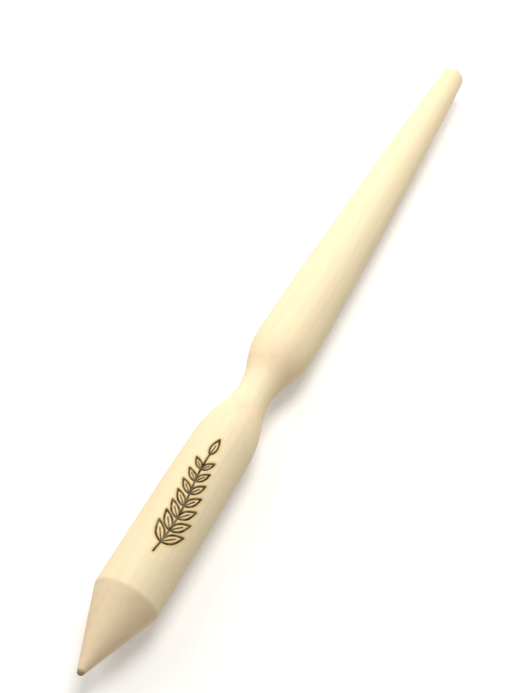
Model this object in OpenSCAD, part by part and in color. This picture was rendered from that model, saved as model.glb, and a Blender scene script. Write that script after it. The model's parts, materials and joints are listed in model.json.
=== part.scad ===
// Pricking-out stick for seedlings, turned on a lathe from one length of pale wood.
// It lies on its side. X runs along it, from the short point at -X to the blade's tip at +X.
// The origin is on the surface that the stick lies on, under the middle of its length.
// Sizes are in millimetres. The outline is drawn once and turned round the axis: a point of it is
// [radius, place], and places are measured from the blunt end of the short point.

/* [Short point] */
// Length of the short point, from its blunt end to the sharp shoulder
point_l = 18; // [14:0.5:24]
// Diameter of the small blunt end of the short point
nub_d = 1.6; // [1:0.1:3]
// Radius that takes the edge off the sharp shoulder
shoulder_round = 0.5; // [0.2:0.1:1.5]

/* [Handle] */
// Diameter of the straight stretch of the handle
handle_d = 14.5; // [13:0.1:16.5]
// Length of the straight stretch of the handle
straight_l = 28; // [20:1:36]
// Length of the stretch that narrows slightly after it
easing_l = 13; // [9:0.5:16]
// Diameter lost over that stretch
easing = 0.4; // [0.2:0.1:0.8]

/* [Waist] */
// Diameter at the narrowest place of the waist
waist_d = 8.1; // [6.5:0.1:9.5]
// Radius of the hollow of the waist, seen from the side
waist_round = 19; // [14:0.5:24]
// Length from the handle's end to the narrowest place
neck_l = 16.2; // [15:0.2:20]
// Length from the narrowest place to the collar
flare_l = 16.8; // [15.4:0.2:20]

/* [Blade] */
// Diameter of the collar, where the blade starts
collar_d = 14.4; // [13:0.1:16.5]
// Length of the blade, from the collar to its tip
blade_l = 108; // [90:1:140]
// Diameter that the blade's taper is heading for at its tip
tip_d = 6; // [4:0.1:8]
// How far the blade's taper swells beyond a straight line
belly = 0.45; // [0.3:0.05:0.9]

/* [Hidden] */
wood = "#efdcb4";

// How far a flat in an arc may lie inside the true arc, and the number of flats along the blade
fine = 0.005;
blade_flats = 24;

// Radii
handle_r = handle_d / 2;
nub_r = nub_d / 2;
eased_r = handle_r - easing / 2;
waist_r = waist_d / 2;
collar_r = collar_d / 2;
tip_r = tip_d / 2;

// Places along the stick
straight_end = point_l + straight_l;
handle_end = straight_end + easing_l;
waist_at = handle_end + neck_l;
collar_at = waist_at + flare_l;
length = collar_at + blade_l;

// Points along an arc that bulges outwards, or a hollow one whose centre lies outside the wood.
// Angles are those of the line out of the centre, from 0 across the stick to 90 along it.
function arc(centre, radius, from, to, first = 0) =
    let (flats = ceil(abs(to - from) / (2 * acos(1 - fine / radius))) + 1)
    [for (i = [first:flats])
        let (angle = from + (to - from) * i / flats)
        centre + radius * [cos(angle), sin(angle)]
    ];

// Short point: the slant of its side from the axis, which runs off the round end
slant = atan2(handle_r, point_l - nub_r) - asin(nub_r / norm([handle_r, point_l - nub_r]));
// The sharp shoulder's rounding, which touches the slanted side and the straight handle
shoulder_centre = [handle_r - shoulder_round, point_l + shoulder_round * tan(slant / 2)];

// Centre of the waist's hollow
waist_centre = [waist_r + waist_round, waist_at];

// Radius of the rounding that leaves a point of the outline, square to the line that points out
// of the wood there, and goes on until it touches the waist's hollow
function rounding(point, out) =
    let (gap = point - waist_centre)
    (gap * gap - waist_round * waist_round) / (2 * (waist_round + gap * out));

// Angle of the line out of a centre to the centre of the waist's hollow
function to_waist(centre) =
    let (gap = waist_centre - centre)
    atan2(gap[1], gap[0]);

// Handle's end, rounded into the waist
handle_edge = [eased_r, handle_end];
easing_slope = atan2(handle_r - eased_r, easing_l);
easing_out = [cos(easing_slope), sin(easing_slope)];
handle_round = rounding(handle_edge, easing_out);
handle_centre = handle_edge - handle_round * easing_out;
neck_slope = to_waist(handle_centre);

// Radius of the blade at a share of its length: a straight taper plus a swell that is fullest
// half way along. The slopes are those of its two ends.
function blade_r(share) = collar_r + (tip_r - collar_r) * share + 4 * belly * share * (1 - share);
collar_slope = atan2(collar_r - tip_r - 4 * belly, blade_l);
tip_slope = atan2(collar_r - tip_r + 4 * belly, blade_l);

// Collar, rounded from the waist into the blade
collar_edge = [collar_r, collar_at];
collar_out = [cos(collar_slope), sin(collar_slope)];
collar_round = rounding(collar_edge, collar_out);
collar_centre = collar_edge - collar_round * collar_out;
flare_slope = to_waist(collar_centre);

// Round tip that runs on from the blade's side
tip_round = tip_r * cos(tip_slope) / (1 - sin(tip_slope));
tip_centre = [0, length - tip_round];
tip_side_at = tip_centre[1] + tip_round * sin(tip_slope);

// The outline's stretches, in order
point_outline = concat(
    arc([0, nub_r], nub_r, -90, -slant),
    arc(shoulder_centre, shoulder_round, -slant, 0)
);
handle_outline = concat(
    [[handle_r, straight_end]],
    arc(handle_centre, handle_round, easing_slope, neck_slope)
);
waist_outline = concat(
    arc(waist_centre, waist_round, 180 + neck_slope, 180 + flare_slope, first = 1),
    arc(collar_centre, collar_round, flare_slope, collar_slope, first = 1)
);
blade_outline = concat(
    [for (i = [1:blade_flats - 1])
        let (place = collar_at + (tip_side_at - collar_at) * i / blade_flats)
        [blade_r((place - collar_at) / blade_l), place]
    ],
    arc(tip_centre, tip_round, tip_slope, 90)
);

module turned_stick() {
    color(wood)
    translate([-length / 2, 0, max(handle_r, collar_r)])
    rotate([0, 90, 0])
    rotate_extrude($fn = 96)
    polygon(concat(point_outline, handle_outline, waist_outline, blade_outline));
}

turned_stick();
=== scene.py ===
# %% [markdown]
# # A pricking-out stick
# Gardeners lift and plant out seedlings with a pricking-out stick: one length of pale wood, turned
# on a lathe to a short sharp point, a round handle, a narrow waist and a long blade.
# The CAD model already holds its true shape and size, so it is loaded first, as a fixed frame.
# Blender then makes the stick that is shown: the same turned form, an ornament burned into the
# handle, and the finish of bare, finely sanded wood. Nothing has to be fitted afterwards.

import json
import math

import bmesh
import bpy
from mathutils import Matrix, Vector, kdtree, noise


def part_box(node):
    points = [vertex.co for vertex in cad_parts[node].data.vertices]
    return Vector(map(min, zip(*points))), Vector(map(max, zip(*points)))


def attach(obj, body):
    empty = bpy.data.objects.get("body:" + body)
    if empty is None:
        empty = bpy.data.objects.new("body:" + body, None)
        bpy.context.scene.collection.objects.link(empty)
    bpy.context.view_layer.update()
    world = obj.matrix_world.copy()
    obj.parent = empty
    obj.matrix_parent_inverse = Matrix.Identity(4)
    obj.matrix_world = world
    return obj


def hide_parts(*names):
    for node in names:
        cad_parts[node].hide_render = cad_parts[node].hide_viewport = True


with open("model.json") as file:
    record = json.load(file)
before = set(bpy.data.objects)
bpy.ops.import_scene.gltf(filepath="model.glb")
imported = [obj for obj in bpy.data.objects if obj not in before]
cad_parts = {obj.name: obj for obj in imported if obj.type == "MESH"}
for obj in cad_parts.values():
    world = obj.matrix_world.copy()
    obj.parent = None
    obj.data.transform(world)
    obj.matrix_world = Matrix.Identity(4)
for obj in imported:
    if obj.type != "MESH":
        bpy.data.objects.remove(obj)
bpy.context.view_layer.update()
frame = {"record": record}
mm = 0.001


def in_mm(corners):
    return [[round(value / mm, 2) for value in corner] for corner in corners]


# %% [markdown]
# ## Sizes
# Every size is a real one, in metres. Those that the frame already knows come from it: the length
# from the CAD node's box, the handle's radius and straight stretch from its mount, and the place of
# the waist from the other mount. The rest are the turner's own sizes, as in the CAD model. Only the
# shoulder is softened further, as sanding does, which moves its edge by 0.05 mm at the most.
# Places run along the stick from the blunt end of its short point.

# %% The stick's sizes
mounts = {mount["name"]: mount for mount in frame["record"]["mounts"]}
stick_low, stick_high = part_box("turned_stick")
start_x = stick_low.x
length = stick_high.x - stick_low.x
axis_z = mounts["handle"]["pos_m"][2]

point_l = 18 * mm
nub_r = 0.8 * mm
shoulder_round = 2.5 * mm

handle_r = mounts["handle"]["dims"]["r_mm"] * mm
straight_half = mounts["handle"]["dims"]["length_mm"] * mm / 2
straight_end = mounts["handle"]["pos_m"][0] + straight_half - start_x
easing_l = 13 * mm
eased_r = handle_r - 0.2 * mm
handle_end = straight_end + easing_l

waist_at = mounts["waist"]["pos_m"][0] - start_x
waist_r = 4.05 * mm
waist_round = 19 * mm

collar_at = waist_at + 16.8 * mm
collar_r = 7.2 * mm
blade_l = length - collar_at
tip_r = 3 * mm
belly = 0.45 * mm
print("Length, handle radius and waist place in mm:", in_mm([(length, handle_r, waist_at)]))

# %% [markdown]
# ## Camera
# The camera stands above and behind the near end of the stick and looks down along it, so the far
# end shrinks by perspective. Its place and its two angles were found by fitting the stick's outline,
# and it is level. The focal length is given in pixels of a picture 693 pixels high. Blender wants it
# in millimetres of a sensor, and a portrait picture uses the sensor's width for its height.

# %% Place the camera
picture_h = 693
focal_px = 1337
sensor_mm = 36
camera_at = Vector((-186.2, -81.7, 246.5)) * mm
heading = math.radians(26.4)
dip = math.radians(50.8)

camera_data = bpy.data.cameras.new("camera")
camera_data.sensor_width = sensor_mm
camera_data.lens = focal_px / picture_h * sensor_mm
camera_data.clip_start = 0.01
camera_data.clip_end = 20
camera = bpy.data.objects.new("camera", camera_data)
level_share = math.cos(dip)
looks_along = Vector(
    (level_share * math.cos(heading), level_share * math.sin(heading), -math.sin(dip))
)
camera.location = camera_at
camera.rotation_euler = looks_along.to_track_quat("-Z", "Y").to_euler()
bpy.context.scene.collection.objects.link(camera)
bpy.context.scene.camera = camera
print("Lens in mm:", round(camera_data.lens, 2))

# %% [markdown]
# ## The turned outline
# A turner cuts the stick from the side, so its whole form is one outline. It could be a stack of
# cylinders and cones, but then every join would need its own rounding. One line of points with true
# arcs between the straight stretches gives the roundings and the slopes that the lathe leaves.
# A point is (radius, place). Angles are those of the line out of an arc's centre, from 0 across the
# stick to a quarter turn along it.

# %% Helpers for the outline
quarter = math.pi / 2


def towards(angle):
    return Vector((math.cos(angle), math.sin(angle)))


def angle_of(line):
    return math.atan2(line.y, line.x)


def arc(centre, radius, start, end, steps):
    return [centre + radius * towards(start + (end - start) * i / steps) for i in range(steps + 1)]


# The radius of a rounding that leaves an edge of the outline and goes on to touch the waist's hollow
waist_centre = Vector((waist_r + waist_round, waist_at))


def rounding(edge, outwards):
    gap = edge - waist_centre
    return (gap.dot(gap) - waist_round**2) / (2 * (waist_round + gap.dot(outwards)))


# %% Short point and handle
slant = angle_of(Vector((point_l - nub_r, handle_r)))
slant -= math.asin(nub_r / math.hypot(handle_r, point_l - nub_r))
shoulder_centre = Vector((handle_r - shoulder_round, point_l + shoulder_round * math.tan(slant / 2)))
outline = arc(Vector((0, nub_r)), nub_r, -quarter, -slant, 9)
outline += arc(shoulder_centre, shoulder_round, -slant, 0, 5)
outline.append(Vector((handle_r, straight_end)))

handle_edge = Vector((eased_r, handle_end))
easing_slope = math.atan2(handle_r - eased_r, easing_l)
handle_round = rounding(handle_edge, towards(easing_slope))
handle_centre = handle_edge - handle_round * towards(easing_slope)
neck_slope = angle_of(waist_centre - handle_centre)
outline += arc(handle_centre, handle_round, easing_slope, neck_slope, 14)
print("Slant of the short point in degrees:", round(math.degrees(slant), 1))
print("Rounding of the handle's end in mm:", round(handle_round / mm, 1))

# %% Waist and collar
taper = collar_r - tip_r
collar_slope = math.atan2(taper - 4 * belly, blade_l)
tip_slope = math.atan2(taper + 4 * belly, blade_l)

collar_edge = Vector((collar_r, collar_at))
collar_round = rounding(collar_edge, towards(collar_slope))
collar_centre = collar_edge - collar_round * towards(collar_slope)
flare_slope = angle_of(waist_centre - collar_centre)
outline += arc(waist_centre, waist_round, math.pi + neck_slope, math.pi + flare_slope, 20)[1:]
outline += arc(collar_centre, collar_round, flare_slope, collar_slope, 12)[1:]
print("Rounding of the collar in mm:", round(collar_round / mm, 1))

# %% Blade and rounded tip
blade_steps = 24
tip_round = tip_r * math.cos(tip_slope) / (1 - math.sin(tip_slope))
tip_centre = Vector((0, length - tip_round))
tip_side_at = tip_centre.y + tip_round * math.sin(tip_slope)


def blade_radius(place):
    share = (place - collar_at) / blade_l
    return collar_r - taper * share + 4 * belly * share * (1 - share)


for i in range(1, blade_steps):
    place = collar_at + (tip_side_at - collar_at) * i / blade_steps
    outline.append(Vector((blade_radius(place), place)))
outline += arc(tip_centre, tip_round, tip_slope, quarter, 14)
print("Points in the outline:", len(outline))

# %% [markdown]
# ## Turning it
# The outline becomes a row of vertices joined by edges. Long edges are cut into short ones first, so
# that the surface has rings to bend at, closer together where the ornament will be cut.
# Spinning the row once round the axis then does what the lathe does. use_merge joins the last copy
# to the first, and merging doubles closes the two poles, where every copy meets on the axis.

# %% Spin the outline
spin_steps = 128
ring_gap = 1 * mm
fine_ring_gap = 0.5 * mm
ornament_span = (25.5 * mm, 58.5 * mm)

bm = bmesh.new()
row = [bm.verts.new((start_x + point.y, 0, axis_z + point.x)) for point in outline]
for first, second in zip(row, row[1:]):
    bm.edges.new((first, second))


def place_of(spot):
    return spot.x - start_x


for edge in list(bm.edges):
    middle = place_of((edge.verts[0].co + edge.verts[1].co) / 2)
    fine = ornament_span[0] - ring_gap < middle < ornament_span[1] + ring_gap
    cuts = int(edge.calc_length() / (fine_ring_gap if fine else ring_gap))
    if cuts:
        bmesh.ops.subdivide_edges(bm, edges=[edge], cuts=cuts)

rings = sorted((place_of(vert.co), vert.co.z - axis_z) for vert in bm.verts)
bmesh.ops.spin(
    bm,
    geom=bm.verts[:] + bm.edges[:],
    cent=(0, 0, axis_z),
    axis=(1, 0, 0),
    angle=2 * math.pi,
    steps=spin_steps,
    use_merge=True,
)
bmesh.ops.remove_doubles(bm, verts=bm.verts, dist=0.001 * mm)
bmesh.ops.recalc_face_normals(bm, faces=bm.faces)
print("Rings:", len(rings), " faces after the spin:", len(bm.faces))

# %% [markdown]
# ## A finer surface for the ornament
# The strokes of the ornament are less than half a millimetre wide, so the surface under them needs
# faces of about a tenth. Cutting the whole stick that finely would take millions of faces, so only a
# patch of the handle is subdivided. Its new vertices lie on flat chords, a little inside the wood,
# and are pushed back out to the turned radius.

# %% Subdivide the patch
patch_turn = math.radians(14)
patch_half = 6.4 * mm / handle_r
patch_cuts = 3


def turn_of(spot):
    return math.atan2(-spot.y, spot.z - axis_z)


def in_patch(spot):
    beside = abs(turn_of(spot) - patch_turn) < patch_half
    return beside and ornament_span[0] < place_of(spot) < ornament_span[1]


patch_faces = [face for face in bm.faces if in_patch(face.calc_center_median())]
patch_edges = {edge for face in patch_faces for edge in face.edges}
bmesh.ops.subdivide_edges(bm, edges=list(patch_edges), cuts=patch_cuts, use_grid_fill=True)


def turned_radius(place):
    after = next(i for i, ring in enumerate(rings) if ring[0] > place)
    (before_at, before_r), (after_at, after_r) = rings[after - 1], rings[after]
    return before_r + (after_r - before_r) * (place - before_at) / (after_at - before_at)


patch = [vert for vert in bm.verts if in_patch(vert.co)]
for vert in patch:
    out = Vector((0, vert.co.y, vert.co.z - axis_z))
    vert.co += out * (turned_radius(place_of(vert.co)) / out.length - 1)
print("Vertices in the patch:", len(patch))

# %% [markdown]
# ## The ornament's strokes
# A sprig of small leaves is burned lengthwise into the handle. It is drawn on the unrolled surface:
# one direction runs along the stick and the other round it. Each stroke is a row of closely spaced
# dots with the half width that the hot point leaves there. Formulas give the stem a slight sway and
# set the leaves in pairs that get smaller towards the end, so nothing is drawn by hand.

# %% Draw the sprig
dot_gap = 0.06 * mm
stem_start = 27 * mm
stem_l = 25.5 * mm
stem_sway = 0.7 * mm
leaf_pairs = 7
leaf_l = 5.4 * mm
leaf_w = 0.95 * mm
leaf_lean = math.radians(40)
stroke_half = 0.23 * mm
rib_half = 0.14 * mm
dots = []


def dot_row(curve, rough_length, half):
    count = math.ceil(rough_length / dot_gap)
    for i in range(count + 1):
        spot = curve(i / count)
        dots.append((spot, half))


def stem(share):
    return Vector((stem_start + stem_l * share, stem_sway * math.sin(1.6 * math.pi * share)))


def leaf(base, direction, size):
    along = towards(direction) * leaf_l * size
    across = towards(direction + quarter) * leaf_w * size
    for side in (-1, 1):
        dot_row(
            lambda share: base + along * share + across * side * math.sin(math.pi * share**0.8),
            leaf_l * size,
            stroke_half,
        )
    dot_row(lambda share: base + along * share * 0.6, leaf_l * size * 0.6, rib_half)


dot_row(stem, stem_l, stroke_half)
for pair in range(leaf_pairs):
    share = 0.1 + 0.86 * pair / leaf_pairs
    onwards = stem(share + 0.01) - stem(share)
    for side in (-1, 1):
        leaf(stem(share), angle_of(onwards) + side * leaf_lean, 1 - 0.45 * share)
leaf(stem(1), angle_of(stem(1) - stem(0.99)), 0.8)
print("Dots in the sprig:", len(dots))

# %% [markdown]
# ## Burning it in
# A hot point leaves a shallow groove, dark brown at the bottom, and toasts the wood beside it. A
# picture of the strokes would colour the wood but leave it smooth, so the strokes are cut: each
# vertex of the patch looks for the dots near it and sinks by how far it lies inside the nearest
# stroke. The same distance is kept as two attributes, burn and toast, which the wood's material
# reads. A small seeded noise makes the point press harder in some places than in others.

# %% Cut the grooves
groove_depth = 0.2 * mm
groove_side = 0.16 * mm
toast_reach = 0.9 * mm

tree = kdtree.KDTree(len(dots))
for index, (spot, half) in enumerate(dots):
    tree.insert((spot.x, spot.y, 0), index)
tree.balance()


def smooth_step(value):
    share = min(1, max(0, value))
    return share * share * (3 - 2 * share)


burn_layer = bm.verts.layers.float.new("burn")
toast_layer = bm.verts.layers.float.new("toast")
deepest = 0
for vert in [vert for vert in bm.verts if in_patch(vert.co)]:
    unrolled = Vector((place_of(vert.co), (turn_of(vert.co) - patch_turn) * handle_r, 0))
    near = tree.find_range(unrolled, toast_reach + stroke_half)
    if not near:
        continue
    outside = min(distance - dots[index][1] for _, index, distance in near)
    pressure = 0.9 + 0.2 * noise.noise(unrolled * 900)
    inside = smooth_step(0.5 - outside / groove_side) * pressure
    vert[burn_layer] = min(1, inside)
    vert[toast_layer] = smooth_step(1 - outside / toast_reach)
    out = Vector((0, vert.co.y, vert.co.z - axis_z)).normalized()
    vert.co -= out * groove_depth * inside
    deepest = max(deepest, groove_depth * inside)
print("Deepest groove in mm:", round(deepest / mm, 2))

# %% [markdown]
# ## End grain
# Where the lathe cuts across the fibres, as on the short point and the flare of the waist, their cut
# ends drink in more light and the wood looks darker and a little pinker. How far a face leans from
# the stick's side says how much end grain it shows. It is kept as a third attribute, because the
# grooves' own walls would otherwise count as end grain too.

# %% Finish the mesh
end_layer = bm.verts.layers.float.new("end_grain")
slopes = []
for (before_at, before_r), (after_at, after_r) in zip(rings, rings[1:]):
    lean = math.atan2(abs(after_r - before_r), after_at - before_at)
    slopes.append(((before_at + after_at) / 2, math.sin(lean)))


def lean_at(place):
    after = next((i for i, slope in enumerate(slopes) if slope[0] > place), len(slopes) - 1)
    (before_at, before_lean), (after_at, after_lean) = slopes[max(0, after - 1)], slopes[after]
    if after_at <= before_at:
        return after_lean
    share = min(1, max(0, (place - before_at) / (after_at - before_at)))
    return before_lean + (after_lean - before_lean) * share


for vert in bm.verts:
    vert[end_layer] = lean_at(place_of(vert.co))
for face in bm.faces:
    face.smooth = True

stick_mesh = bpy.data.meshes.new("pricking_stick")
bm.to_mesh(stick_mesh)
bm.free()
stick = bpy.data.objects.new("pricking_stick", stick_mesh)
bpy.context.scene.collection.objects.link(stick)
print("Triangles:", sum(len(face.vertices) - 2 for face in stick_mesh.polygons))

# %% [markdown]
# ## Helpers for the finish
# A material is a small graph of nodes. These helpers add a node, feed its sockets with numbers,
# colours or other nodes' results, and hand back what comes out, so that a finish reads as a few
# lines. Colours are written as a screen shows them, from 0 to 255, and turned into the linear values
# that a shader works with.

# %% Node helpers
def tone(red, green, blue):
    def linear(value):
        share = value / 255
        return share / 12.92 if share <= 0.04045 else ((share + 0.055) / 1.055) ** 2.4

    return (linear(red), linear(green), linear(blue), 1)


def feed(graph, socket, value):
    if isinstance(value, bpy.types.NodeSocket):
        graph.links.new(value, socket)
    else:
        socket.default_value = value


def blend(graph, share, first, second, how="MIX"):
    node = graph.nodes.new("ShaderNodeMix")
    node.data_type = "RGBA"
    node.blend_type = how
    feed(graph, node.inputs[0], share)
    feed(graph, node.inputs[6], first)
    feed(graph, node.inputs[7], second)
    return node.outputs[2]


def spread(graph, value, low, high, low_out=0, high_out=1):
    node = graph.nodes.new("ShaderNodeMapRange")
    node.interpolation_type = "SMOOTHSTEP"
    feed(graph, node.inputs[0], value)
    for socket, number in zip(node.inputs[1:5], (low, high, low_out, high_out)):
        socket.default_value = number
    return node.outputs[0]


def calculate(graph, how, first, second):
    node = graph.nodes.new("ShaderNodeMath")
    node.operation = how
    feed(graph, node.inputs[0], first)
    feed(graph, node.inputs[1], second)
    return node.outputs[0]


def stretched_noise(graph, spot, along, across, detail=2):
    scaled = graph.nodes.new("ShaderNodeMapping")
    scaled.inputs["Scale"].default_value = (along, across, across)
    grain = graph.nodes.new("ShaderNodeTexNoise")
    grain.inputs["Scale"].default_value = 1
    grain.inputs["Detail"].default_value = detail
    graph.links.new(spot, scaled.inputs["Vector"])
    graph.links.new(scaled.outputs["Vector"], grain.inputs["Vector"])
    return grain.outputs["Fac"]


# %% [markdown]
# ## Pale wood
# The blank was sawn from a pale, even hardwood. Its growth rings are wide cylinders round a pith
# that lay outside the stick, so a Wave texture makes them as rings round a shifted axis: on the
# handle they run as faint lengthwise lines, and on the point and the waist they open into curves,
# as they do in real wood. Noise stretched along the stick gives the fibres and the slow change of
# tone, and all of it reads Object coordinates, so it goes through the wood like real grain.

# %% Growth rings and fibres
wood = bpy.data.materials.new("pale_wood")
wood.use_nodes = True
graph = wood.node_tree
graph.nodes.clear()
spot = graph.nodes.new("ShaderNodeTexCoord").outputs["Object"]

pith_y = -31 * mm
pith_z = -24 * mm
ring_width = 1.9 * mm
wave_period = 2 * math.pi / 20

wobble = graph.nodes.new("ShaderNodeTexNoise")
wobble.inputs["Scale"].default_value = 14
wobble.inputs["Detail"].default_value = 1
graph.links.new(spot, wobble.inputs["Vector"])
shifted = graph.nodes.new("ShaderNodeVectorMath")
shifted.operation = "MULTIPLY_ADD"
shifted.inputs[1].default_value = (0, 0.006, 0.006)
graph.links.new(wobble.outputs["Color"], shifted.inputs[0])
graph.links.new(spot, shifted.inputs[2])
from_pith = graph.nodes.new("ShaderNodeMapping")
from_pith.inputs["Location"].default_value = (0, -pith_y, -pith_z)
graph.links.new(shifted.outputs["Vector"], from_pith.inputs["Vector"])

growth = graph.nodes.new("ShaderNodeTexWave")
growth.wave_type = "RINGS"
growth.rings_direction = "X"
growth.wave_profile = "SAW"
growth.inputs["Scale"].default_value = wave_period / ring_width
graph.links.new(from_pith.outputs["Vector"], growth.inputs["Vector"])
late_wood = spread(graph, growth.outputs["Fac"], 0.55, 1)

fibres = stretched_noise(graph, spot, 90, 3600, 3)
flecks = stretched_noise(graph, spot, 420, 5200, 1)
bands = stretched_noise(graph, spot, 9, 240)
print("Growth ring width in mm:", round(ring_width / mm, 2))

# %% [markdown]
# ## Colour
# The colour starts as two close creams, mixed by the slow bands. Growth rings and fibres darken it a
# little. The end grain is browner and pinker, in soft patches, because it takes up the light
# unevenly. The small blunt end, where the blank was parted from the lathe, is brown. The burn
# attribute blackens the grooves and the toast attribute tans the wood beside them.

# %% Wood colour
grain_share = 0.2
nub_l = 1.3 * mm
pale = tone(251, 233, 193)
warm = tone(248, 228, 186)
late = tone(235, 210, 168)
end = tone(250, 224, 185)
cut_end = tone(244, 216, 178)
brown = tone(150, 116, 80)
char = tone(40, 22, 6)
toasted = tone(232, 196, 120)


def attribute(name):
    node = graph.nodes.new("ShaderNodeAttribute")
    node.attribute_name = name
    return node.outputs["Fac"]


colour = blend(graph, spread(graph, bands, 0.35, 0.65), pale, warm)
colour = blend(graph, calculate(graph, "MULTIPLY", late_wood, grain_share), colour, late)
colour = blend(graph, spread(graph, fibres, 0.5, 0.75, 0, grain_share), colour, late)
colour = blend(graph, spread(graph, flecks, 0.66, 0.74, 0, grain_share), colour, late)

ragged = calculate(graph, "MULTIPLY", fibres, 0.12)
ragged = calculate(graph, "ADD", attribute("end_grain"), ragged)
end_share = spread(graph, ragged, 0.16, 0.42, 0, 0.75)
patches = stretched_noise(graph, spot, 420, 520, 3)
end_tone = blend(graph, spread(graph, patches, 0.42, 0.66), end, cut_end)
colour = blend(graph, end_share, colour, end_tone)

apart = graph.nodes.new("ShaderNodeSeparateXYZ")
graph.links.new(spot, apart.inputs[0])
along_stick = apart.outputs["X"]
nub_share = spread(graph, along_stick, start_x + 0.4 * mm, start_x + nub_l, 0.8, 0)
colour = blend(graph, nub_share, colour, brown)
burn = attribute("burn")
colour = blend(graph, spread(graph, attribute("toast"), 0.1, 1, 0, 0.6), colour, toasted)
colour = blend(graph, burn, colour, char)

# %% [markdown]
# ## Surface
# Sanding leaves wood nearly matt, a little smoother on the pale early wood than on cut fibre ends or
# charred grooves. The bump holds what is finer than the mesh: the fibres, and the faint marks that
# run round the stick from sanding it on the lathe, which depend only on the place along it.

# %% Wood surface
marks = graph.nodes.new("ShaderNodeTexNoise")
marks.noise_dimensions = "1D"
marks.inputs["Scale"].default_value = 2600
marks.inputs["Detail"].default_value = 3
graph.links.new(along_stick, marks.inputs["W"])

mark_height = calculate(graph, "MULTIPLY", marks.outputs["Fac"], 0.5)
relief = calculate(graph, "ADD", fibres, mark_height)
bump = graph.nodes.new("ShaderNodeBump")
bump.inputs["Strength"].default_value = 0.6
bump.inputs["Distance"].default_value = 0.03 * mm
graph.links.new(relief, bump.inputs["Height"])

surface = graph.nodes.new("ShaderNodeBsdfPrincipled")
surface.inputs["Specular IOR Level"].default_value = 0.3
roughness = spread(graph, fibres, 0.3, 0.7, 0.52, 0.66)
charred_roughness = calculate(graph, "MULTIPLY", burn, 0.2)
roughness = calculate(graph, "ADD", roughness, charred_roughness)
graph.links.new(colour, surface.inputs["Base Color"])
graph.links.new(roughness, surface.inputs["Roughness"])
graph.links.new(bump.outputs["Normal"], surface.inputs["Normal"])
output = graph.nodes.new("ShaderNodeOutputMaterial")
graph.links.new(surface.outputs["BSDF"], output.inputs["Surface"])
stick_mesh.materials.append(wood)
print("Nodes in the wood:", len(graph.nodes))

# %% [markdown]
# ## Floor
# The stick lies on a plain white surface. A white floor could be had by turning the lamps up, but the
# wood would wash out with it. So the floor's own colour is pale and a little warm, and for rays from
# the camera it gets a glow on top: it looks white and keeps the soft shadow. The glow grows away from
# the stick, where the lamps hardly reach.

# %% Floor
floor_half = 3
near_lift = 0.3
far_lift = 0.85
lift_grows = (0.12, 0.6)

bm = bmesh.new()
bmesh.ops.create_grid(bm, x_segments=1, y_segments=1, size=floor_half)
floor_mesh = bpy.data.meshes.new("floor")
bm.to_mesh(floor_mesh)
bm.free()
floor = bpy.data.objects.new("floor", floor_mesh)
bpy.context.scene.collection.objects.link(floor)


def seen_ray(graph):
    rays = graph.nodes.new("ShaderNodeLightPath")
    seen = calculate(graph, "MAXIMUM", rays.outputs["Is Camera Ray"], rays.outputs["Is Glossy Ray"])
    return calculate(graph, "MAXIMUM", seen, rays.outputs["Is Transmission Ray"])


table = bpy.data.materials.new("white_table")
table.use_nodes = True
graph = table.node_tree
graph.nodes.clear()
matt = graph.nodes.new("ShaderNodeBsdfDiffuse")
matt.inputs["Color"].default_value = (0.8, 0.775, 0.74, 1)
glow = graph.nodes.new("ShaderNodeEmission")
away = graph.nodes.new("ShaderNodeVectorMath")
away.operation = "LENGTH"
graph.links.new(graph.nodes.new("ShaderNodeTexCoord").outputs["Object"], away.inputs[0])
lift = spread(graph, away.outputs["Value"], *lift_grows, near_lift, far_lift)
strength = calculate(graph, "MULTIPLY", seen_ray(graph), lift)
graph.links.new(strength, glow.inputs["Strength"])
both = graph.nodes.new("ShaderNodeAddShader")
graph.links.new(matt.outputs[0], both.inputs[0])
graph.links.new(glow.outputs[0], both.inputs[1])
output = graph.nodes.new("ShaderNodeOutputMaterial")
graph.links.new(both.outputs[0], output.inputs["Surface"])
floor_mesh.materials.append(table)

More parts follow.
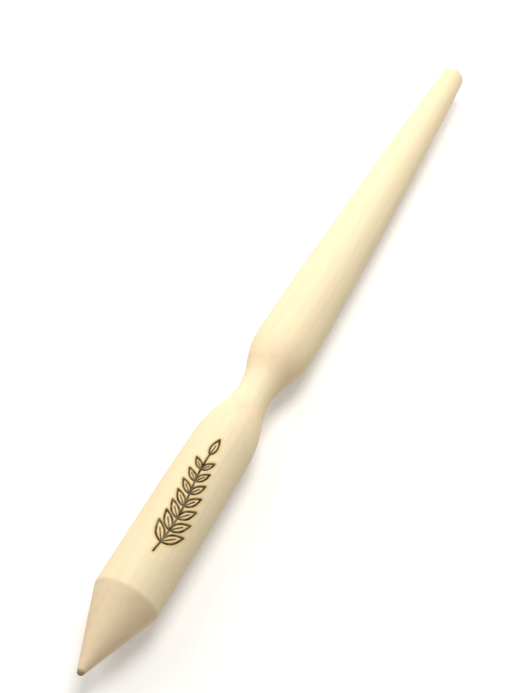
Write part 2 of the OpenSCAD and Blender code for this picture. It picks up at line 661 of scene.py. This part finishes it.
# %% [markdown]
# ## Light
# Soft light shows a turned form best, because every ring of it runs from light to shade without a
# hard edge. One wide lamp nearly overhead, beyond the stick's middle, gives most of it, and a weaker
# one on the left rounds off the shade. An even pale sky keeps the far side from going black. Each
# lamp's strength is given as the light that falls on the stick, and its watts are worked out.

# %% Sky
sky_level = 0.2

sky = bpy.data.worlds.new("sky")
bpy.context.scene.world = sky
sky.use_nodes = True
graph = sky.node_tree
graph.nodes.clear()
light = graph.nodes.new("ShaderNodeBackground")
light.inputs["Color"].default_value = (1, 0.99, 0.97, 1)
light.inputs["Strength"].default_value = sky_level
white = graph.nodes.new("ShaderNodeBackground")
white.inputs["Color"].default_value = (1, 1, 1, 1)
choice = graph.nodes.new("ShaderNodeMixShader")
graph.links.new(seen_ray(graph), choice.inputs[0])
graph.links.new(light.outputs[0], choice.inputs[1])
graph.links.new(white.outputs[0], choice.inputs[2])
output = graph.nodes.new("ShaderNodeOutputWorld")
graph.links.new(choice.outputs[0], output.inputs["Surface"])

# %% Two soft lamps
lamp_away = 0.45
lamp_width = 0.27


def add_lamp(name, turn, rise, level):
    """A round soft lamp that points at the stick's middle; level is its light there, face on."""
    turn, rise = math.radians(turn), math.radians(rise)
    flat = math.cos(rise)
    at = lamp_away * Vector((flat * math.cos(turn), flat * math.sin(turn), math.sin(rise)))
    data = bpy.data.lights.new(name, "AREA")
    data.shape = "DISK"
    data.size = lamp_width
    data.energy = level * (math.pi * lamp_away) ** 2
    lamp = bpy.data.objects.new(name, data)
    lamp.location = at
    lamp.rotation_euler = (-at).to_track_quat("-Z", "Y").to_euler()
    bpy.context.scene.collection.objects.link(lamp)
    print(name, "in watts:", round(data.energy, 2))


add_lamp("over_the_blade", 0, 70, 0.85)
add_lamp("on_the_left", 80, 45, 0.35)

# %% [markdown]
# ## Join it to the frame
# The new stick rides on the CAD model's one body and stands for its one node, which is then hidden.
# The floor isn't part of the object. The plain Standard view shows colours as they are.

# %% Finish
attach(stick, "root")
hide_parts("turned_stick")

bpy.context.scene.view_settings.view_transform = "Standard"
